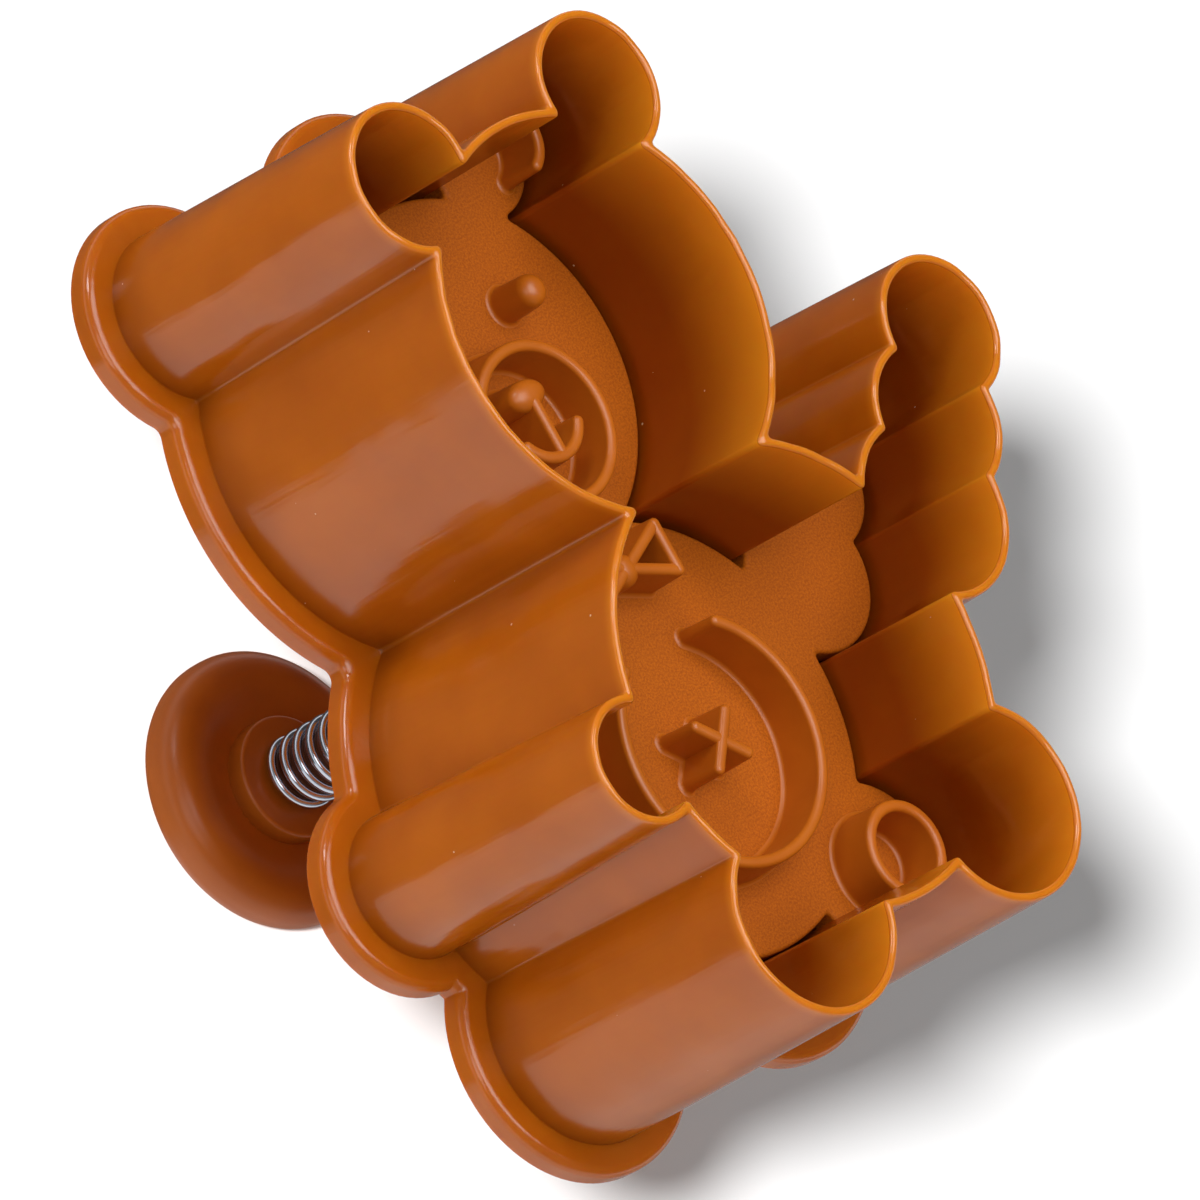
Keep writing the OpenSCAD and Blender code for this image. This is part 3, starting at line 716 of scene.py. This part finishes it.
class CUTTER_OT_spring(bpy.types.Operator):
    """Winds the return spring between the knob and the end of its housing"""
    bl_idname = "cutter.spring"
    bl_label = "Return spring"

    def execute(self, context):
        settings = context.scene.cutter_spring
        level_turns, per_turn = 0.2, 40
        wire, outer_r, gap = settings.wire, 3.25 * MM, 0.05 * MM
        mean_r = outer_r - wire / 2
        start = SPRING_SEAT + gap + wire / 2
        rise = GUIDE_BACK - gap - wire / 2 - start
        bm = bmesh.new()
        place = Matrix.Translation((mean_r, 0, start)) @ Matrix.Rotation(TURN / 4, 4, "X")
        geom = bmesh.ops.create_circle(bm, cap_ends=False, segments=16, radius=wire / 2, matrix=place)
        first = bm.edges[:]
        ring = geom["verts"] + first
        for turns, climb in ((level_turns, 0), (settings.turns - 2 * level_turns, rise), (level_turns, 0)):
            steps = round(turns * per_turn)
            ring = bmesh.ops.spin(bm, geom=ring, cent=(0, 0, 0), axis=UPRIGHT, dvec=(0, 0, climb / steps),
                                  angle=turns * TURN, steps=steps)["geom_last"]
        bmesh.ops.edgeloop_fill(bm, edges=first)
        bmesh.ops.edgeloop_fill(bm, edges=[part for part in ring if isinstance(part, bmesh.types.BMEdge)])
        piece = make_piece(bm, "return_spring_dressed", "plunger", ["return_spring"],
                           [drawn_spring_steel(settings)])
        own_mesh(piece)
        return {"FINISHED"}


class CUTTER_OT_studio(bpy.types.Operator):
    """Sets the floor, the lights and the camera"""
    bl_idname = "cutter.studio"
    bl_label = "Studio"

    def execute(self, context):
        settings = context.scene.cutter_studio
        scene = context.scene
        bm = bmesh.new()
        # Wide enough to reach the horizon in low views
        floor_reach = 40
        bmesh.ops.create_grid(bm, x_segments=1, y_segments=1, size=floor_reach)
        mesh = bpy.data.meshes.new("floor")
        bm.to_mesh(mesh)
        bm.free()
        floor = bpy.data.objects.new("floor", mesh)
        collection("Stage").objects.link(floor)
        # The gloss takes its reflections from the world, whose lower half is part white and part shade
        floor.visible_glossy = False
        # Smooth pale paper, white to the eye, that keeps a soft grey shadow
        material, tree, shader = start_material("Pale paper")
        shader.inputs["Base Color"].default_value = settings.floor
        shader.inputs["Roughness"].default_value = 0.9
        shader.inputs["Specular IOR Level"].default_value = 0.1
        ray = add(tree, "ShaderNodeLightPath")
        seen = add(tree, "ShaderNodeMath", {"operation": "ADD"},
                   {0: (ray, "Is Camera Ray"), 1: (ray, "Is Glossy Ray")})
        seen = add(tree, "ShaderNodeMath", {"operation": "ADD"}, {0: (seen, 0), 1: (ray, "Is Transmission Ray")})
        share = add(tree, "ShaderNodeMath", {"operation": "MULTIPLY", 1: 0.12}, {0: (seen, 0)})
        white = add(tree, "ShaderNodeEmission", {"Strength": 1.0})
        mixed = add(tree, "ShaderNodeMixShader", {}, {0: (share, 0), 1: (shader, 0), 2: (white, 0)})
        tree.links.new(mixed.outputs[0], tree.nodes["Material Output"].inputs["Surface"])
        mesh.materials.append(material)

        # A dim ceiling over a pale horizon, both darker on the far side, with white where the horizon meets the floor;
        # below them a white sheet towards the feet and shade towards the ears
        world = bpy.data.worlds.new("Studio")
        world.use_nodes = True
        tree = world.node_tree
        background = tree.nodes["Background"]
        place = add(tree, "ShaderNodeTexCoord")
        way = add(tree, "ShaderNodeSeparateXYZ", {}, {"Vector": (place, "Generated")})
        far = add(tree, "ShaderNodeMapRange", {"From Min": 0.0, "From Max": 0.5, "To Min": 1.0, "To Max": 0.3},
                  {"Value": (way, "X")})
        ceiling = add(tree, "ShaderNodeMapRange", {"From Min": 0.1, "From Max": 0.3, "To Min": 0.85, "To Max": 0.2},
                      {"Value": (way, "Z")})
        shaded = add(tree, "ShaderNodeMath", {"operation": "MULTIPLY"}, {0: (ceiling, 0), 1: (far, 0)})
        band = add(tree, "ShaderNodeMapRange", {"From Min": 0.06, "From Max": 0.12, "To Min": 1.0, "To Max": 0.0},
                   {"Value": (way, "Z")})
        upper = add(tree, "ShaderNodeMath", {"operation": "MAXIMUM"}, {0: (shaded, 0), 1: (band, 0)})
        sheet = add(tree, "ShaderNodeMapRange", {"interpolation_type": "SMOOTHSTEP", "From Min": -0.05,
                                                 "From Max": 0.09, "To Max": 0.08},
                    {"Value": (way, "Y"), "To Min": (far, 0)})
        below = add(tree, "ShaderNodeMapRange", {"From Min": -0.2, "From Max": -0.1}, {"Value": (way, "Z")})
        sky = add(tree, "ShaderNodeMix", {}, {0: (below, 0), 2: (sheet, 0), 3: (upper, 0)})
        tree.links.new(sky.outputs[0], background.inputs["Color"])
        scene.world = world

        # The point that the camera looks at, the picture's right and the way from the point back to the camera
        aim = Vector((0, 0.4, 44.3)) * MM
        right = Vector((0.608, -0.4848, 0.629)).normalized()
        towards = Vector((-0.719, 0, 0.695)).normalized()
        up = towards.cross(right).normalized()
        right = up.cross(towards)
        beside = Vector((-0.751, 0.145, 0.648))
        lamp_distance = 1.0
        # Each lamp's name, kind, power, direction from the cutter, size in metres or radians, and what it lights
        lamps = [
            ("top", "AREA", settings.top, Vector((0, 0.1, 1)), 1.0, "Cutter"),
            ("front", "AREA", settings.front, beside, 0.55, "Cutter"),
            ("left", "AREA", settings.left, Vector((-0.26, 0.78, 0.57)), 0.28, "Cutter"),
            ("shade", "SUN", settings.shade, beside, 0.13, "Stage"),
        ]
        for name, kind, power, way, size, lit in lamps:
            lamp = bpy.data.lights.new(name, kind)
            lamp.energy = power
            if kind == "AREA":
                lamp.shape, lamp.size = "DISK", size
            else:
                lamp.angle = size
            light = bpy.data.objects.new(name, lamp)
            light.location = aim + way.normalized() * lamp_distance
            light.rotation_euler = way.to_track_quat("Z", "Y").to_euler()
            light.light_linking.receiver_collection = collection(lit)
            scene.collection.objects.link(light)
        distance, seen_width, sensor = 0.9, 0.0923, 36
        camera = bpy.data.cameras.new("camera")
        camera.lens, camera.sensor_width = sensor * distance / seen_width, sensor
        camera.clip_start, camera.clip_end = 0.05, 200
        viewer = bpy.data.objects.new("camera", camera)
        viewer.matrix_world = Matrix.Translation(aim + towards * distance) @ Matrix(
            (right, up, towards)).transposed().to_4x4()
        scene.collection.objects.link(viewer)
        scene.camera = viewer
        scene.view_settings.view_transform = "Standard"
        return {"FINISHED"}


class CUTTER_PT_panel(bpy.types.Panel):
    """Lists the settings and the steps that build the cutter"""
    bl_idname = "CUTTER_PT_panel"
    bl_label = "Plunger cookie cutter"
    bl_space_type = "VIEW_3D"
    bl_region_type = "UI"
    bl_category = "Cutter"

    def draw(self, context):
        for group in GROUPS:
            box = self.layout.box()
            settings = getattr(context.scene, group)
            for name in settings.bl_rna.properties.keys():
                if name not in ("rna_type", "name"):
                    box.prop(settings, name)
            box.operator(group.replace("_", "."))


# Settings of each step, under the name that its operator has with a dot
GROUPS = {
    "cutter_shell": ShellSettings,
    "cutter_stamp": StampSettings,
    "cutter_knob": KnobSettings,
    "cutter_spring": SpringSettings,
    "cutter_studio": StudioSettings,
}
CLASSES = [*GROUPS.values(), CUTTER_OT_shell, CUTTER_OT_stamp, CUTTER_OT_knob, CUTTER_OT_spring, CUTTER_OT_studio,
           CUTTER_PT_panel]


def register():
    for cls in CLASSES:
        bpy.utils.register_class(cls)
    for name, group in GROUPS.items():
        setattr(bpy.types.Scene, name, PointerProperty(type=group))


def unregister():
    for name in GROUPS:
        delattr(bpy.types.Scene, name)
    for cls in reversed(CLASSES):
        bpy.utils.unregister_class(cls)


def main():
    register()
    bpy.ops.cutter.studio()
    bpy.ops.cutter.shell()
    bpy.ops.cutter.stamp()
    bpy.ops.cutter.knob()
    bpy.ops.cutter.spring()


if __name__ == "__main__":
    main()
